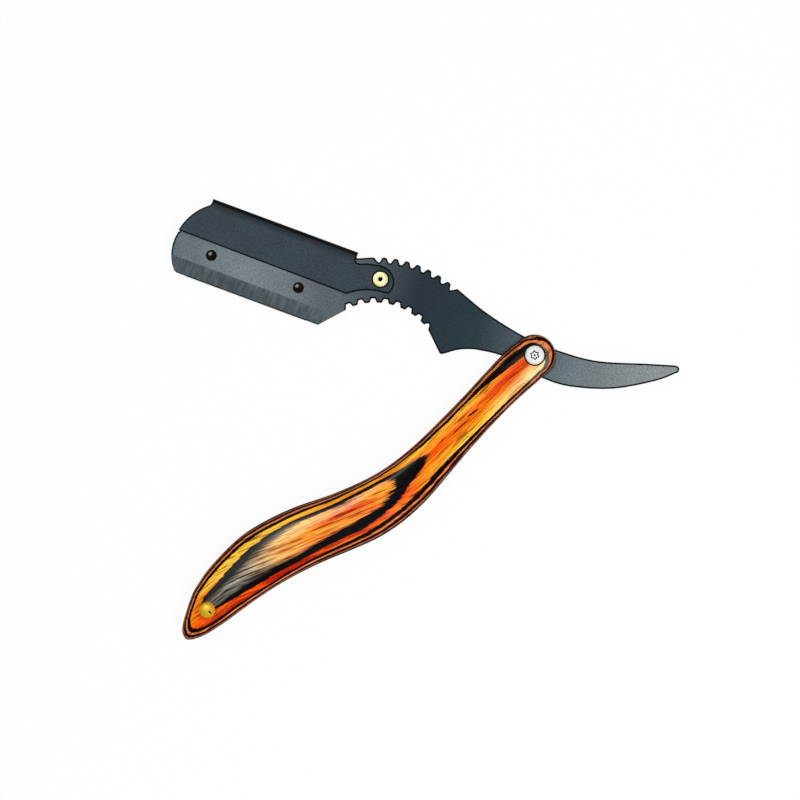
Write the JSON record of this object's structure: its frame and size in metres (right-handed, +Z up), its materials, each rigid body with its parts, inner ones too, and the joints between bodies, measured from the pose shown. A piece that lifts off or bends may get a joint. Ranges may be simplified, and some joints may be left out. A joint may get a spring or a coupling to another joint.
{
  "type": "straight razor",
  "caption": "Folding straight razor with S-curved laminated wood scales and a jimped steel tang, whose swing-lock cover clamps half a replaceable blade.",
  "frame": {"origin": "middle of the bounding box of the half-open razor, on the surface it lies on", "axes": "+Z up through the thickness, along both hinge axes; +X along the longest side of the half-open razor, towards the tail of the tang; +Y from the handle's tail towards the holder"},
  "size_m": [0.1474, 0.1278, 0.0116],
  "materials": {
    "grey_steel": "dark grey coated steel with a cross-brushed bevel",
    "black_steel": "satin blue-black coated steel sheet",
    "pin_steel": "polished black steel",
    "bright_steel": "bright polished steel",
    "brass": "polished yellow brass",
    "laminated_wood": "dyed orange and black veneers under gloss lacquer",
    "dark_wood": "dark dyed wood"
  },
  "bodies": {
    "handle": {"scale_front": "laminated_wood", "scale_rear": "laminated_wood", "tail_spacer": "dark_wood", "tail_pin": "brass", "pivot_screw": "bright_steel", "pivot_post": "bright_steel", "pivot_washer_front": "brass", "pivot_washer_rear": "brass"},
    "tang": {"tang_plate": "grey_steel", "cover_rivet": "brass", "blade_pin_tip": "pin_steel", "blade_pin_heel": "pin_steel", "razor_blade": "bright_steel"},
    "cover": {"swing_cover": "black_steel"}
  },
  "joints": [
    {"name": "blade_pivot", "type": "hinge", "parent": "handle", "child": "tang", "pos_m": [0.03162, 0.01851, 0.00575], "axis": [0, 0, 1], "range_deg": [-270, 52]},
    {"name": "cover_swing", "type": "hinge", "parent": "tang", "child": "cover", "pos_m": [-0.013, 0.04054, 0.00575], "axis": [0, 0, -1], "range_deg": [0, 95]}
  ]
}
